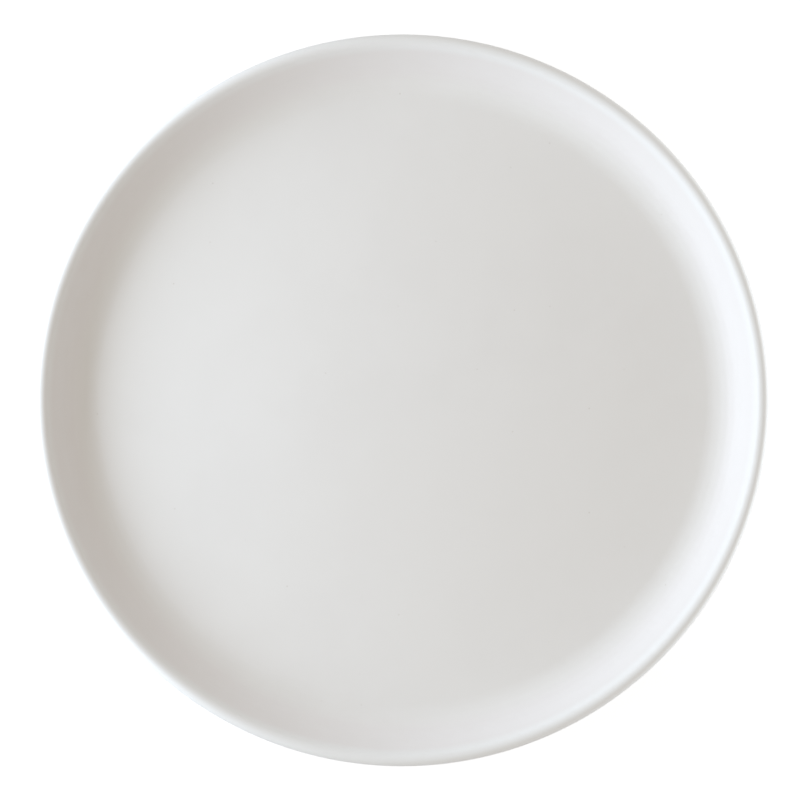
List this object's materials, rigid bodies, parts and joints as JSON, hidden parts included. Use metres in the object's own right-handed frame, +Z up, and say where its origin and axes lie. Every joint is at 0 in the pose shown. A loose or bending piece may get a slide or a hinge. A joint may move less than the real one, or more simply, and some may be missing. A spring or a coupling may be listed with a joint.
{
  "type": "pizza plate",
  "caption": "Round white ceramic pizza plate with a wide flat well, a short upturned wall, a rounded lip and a bare foot ring.",
  "frame": {"origin": "centre of the foot ring, on the plane that the plate stands on", "axes": "+Z up along the plate's axis of revolution, out of the well; X and Y lie in the table plane and are alike"},
  "size_m": [0.32, 0.32, 0.0265],
  "materials": {
    "clay": "matte",
    "glaze": "satin"
  },
  "bodies": {
    "root": {"fired_body": "clay", "glaze_coat": "glaze", "base_glaze": "glaze"}
  },
  "joints": []
}
